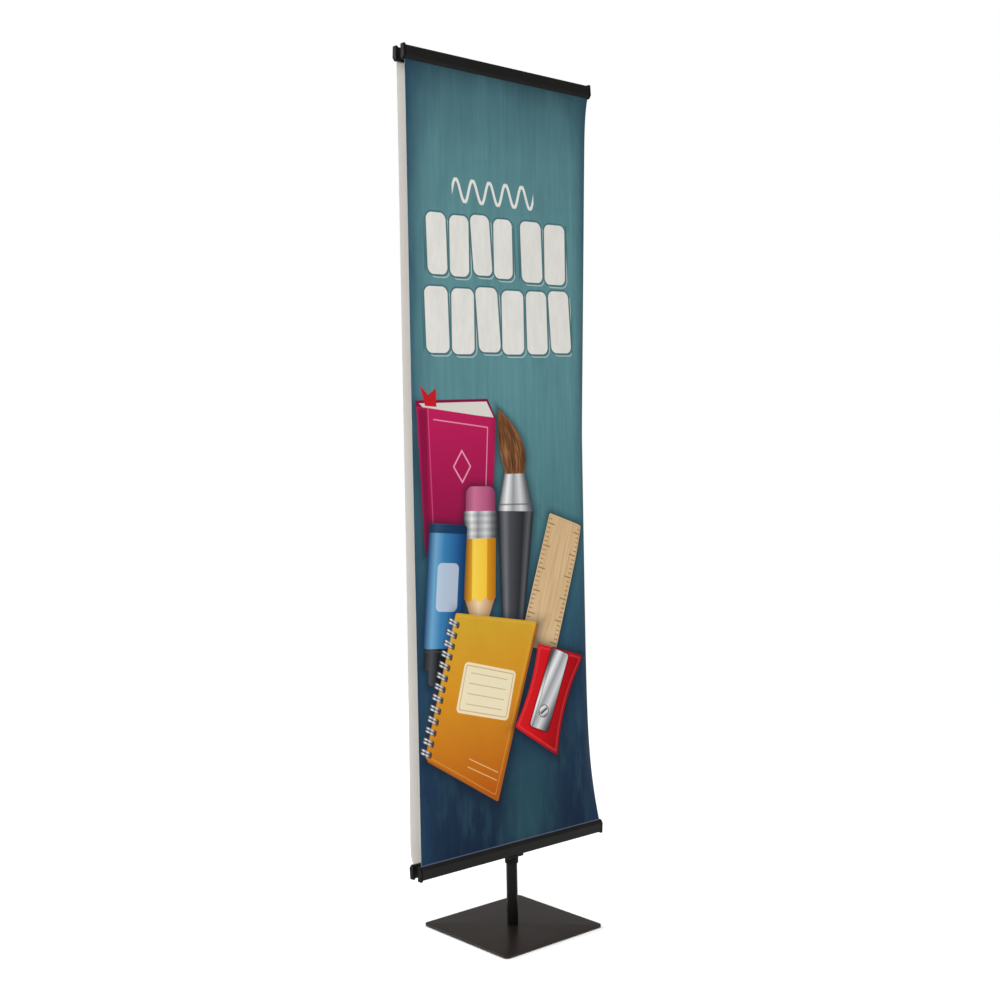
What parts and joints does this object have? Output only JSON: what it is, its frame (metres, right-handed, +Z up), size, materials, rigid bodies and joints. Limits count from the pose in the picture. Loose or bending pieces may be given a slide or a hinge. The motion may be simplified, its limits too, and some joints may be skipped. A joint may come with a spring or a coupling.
{
  "type": "double-sided pole banner stand",
  "caption": "Free-standing banner stand: flat square base, short socket pole, telescoping mast and twin snap rails holding two back-to-back printed banners.",
  "frame": {"origin": "centre of the base's underside on the floor, on the mast's axis", "axes": "+Z up along the mast, X along the rails, -Y out of the front banner's printed face"},
  "size_m": [0.6226, 0.33, 2.208],
  "materials": {
    "base_powder_coat": "satin black-brown powder coat on steel plate",
    "black_powder_coat": "satin black powder coat on steel",
    "rail_black": "satin black coated extrusion",
    "mast_black": "satin black anodised tube",
    "black_plastic": "fine textured moulding",
    "rubber": "matt",
    "zinc_steel": "zinc plated",
    "printed_vinyl": "matt print on one face, plain white on the other"
  },
  "bodies": {
    "base": {"base_plate": "base_powder_coat", "foot_front_left": "rubber", "foot_front_right": "rubber", "foot_rear_left": "rubber", "foot_rear_right": "rubber", "base_bolt": "zinc_steel", "socket_plug": "zinc_steel", "socket_tube": "black_powder_coat", "socket_bush": "black_plastic"},
    "base_lock": {"base_collar": "black_plastic"},
    "mast": {"mast_spigot": "black_powder_coat", "lower_mast_tube": "mast_black", "spigot_pin": "zinc_steel", "saddle_plate": "black_powder_coat", "saddle_screw_1": "zinc_steel", "saddle_screw_2": "zinc_steel", "saddle_screw_3": "zinc_steel", "saddle_screw_4": "zinc_steel", "height_lock_sleeve": "black_plastic", "front_bottom_rail": "rail_black", "rear_bottom_rail": "rail_black", "front_bottom_cap_left": "black_plastic", "front_bottom_cap_right": "black_plastic", "rear_bottom_cap_left": "black_plastic", "rear_bottom_cap_right": "black_plastic", "front_banner": "printed_vinyl", "rear_banner": "printed_vinyl"},
    "height_lock": {"height_lock_ring": "black_plastic"},
    "upper_mast": {"upper_mast_tube": "mast_black", "tube_slider": "black_plastic", "crosshead": "black_plastic", "crosshead_pin": "zinc_steel", "crosshead_screw_front_1": "zinc_steel", "crosshead_screw_front_2": "zinc_steel", "crosshead_screw_rear_1": "zinc_steel", "crosshead_screw_rear_2": "zinc_steel", "front_top_rail": "rail_black", "rear_top_rail": "rail_black", "front_top_cap_left": "black_plastic", "front_top_cap_right": "black_plastic", "rear_top_cap_left": "black_plastic", "rear_top_cap_right": "black_plastic"},
    "front_top_snap": {"front_top_flap": "rail_black"},
    "front_bottom_snap": {"front_bottom_flap": "rail_black"},
    "rear_top_snap": {"rear_top_flap": "rail_black"},
    "rear_bottom_snap": {"rear_bottom_flap": "rail_black"}
  },
  "joints": [
    {"name": "base_collar_twist", "type": "hinge", "parent": "base", "child": "base_lock", "pos_m": [0, 0, 0.1765], "axis": [0, 0, 1], "range_deg": [0, 90]},
    {"name": "mast_swivel", "type": "hinge", "parent": "base", "child": "mast", "pos_m": [0, 0, 0.1], "axis": [0, 0, 1], "continuous": true},
    {"name": "height_lock_twist", "type": "hinge", "parent": "mast", "child": "height_lock", "pos_m": [0, 0, 1.165], "axis": [0, 0, 1], "range_deg": [0, 90]},
    {"name": "mast_height", "type": "slide", "parent": "mast", "child": "upper_mast", "axis": [0, 0, 1], "range_m": [-0.85, 0], "deforming": ["front_banner", "rear_banner"]},
    {"name": "front_top_snap_hinge", "type": "hinge", "parent": "upper_mast", "child": "front_top_snap", "pos_m": [0, -0.0188, 2.202], "axis": [-1, 0, 0], "range_deg": [0, 60]},
    {"name": "rear_top_snap_hinge", "type": "hinge", "parent": "upper_mast", "child": "rear_top_snap", "pos_m": [0, 0.0188, 2.202], "axis": [1, 0, 0], "range_deg": [0, 60]},
    {"name": "front_bottom_snap_hinge", "type": "hinge", "parent": "mast", "child": "front_bottom_snap", "pos_m": [0, -0.0188, 0.194], "axis": [1, 0, 0], "range_deg": [0, 60]},
    {"name": "rear_bottom_snap_hinge", "type": "hinge", "parent": "mast", "child": "rear_bottom_snap", "pos_m": [0, 0.0188, 0.194], "axis": [-1, 0, 0], "range_deg": [0, 60]}
  ]
}
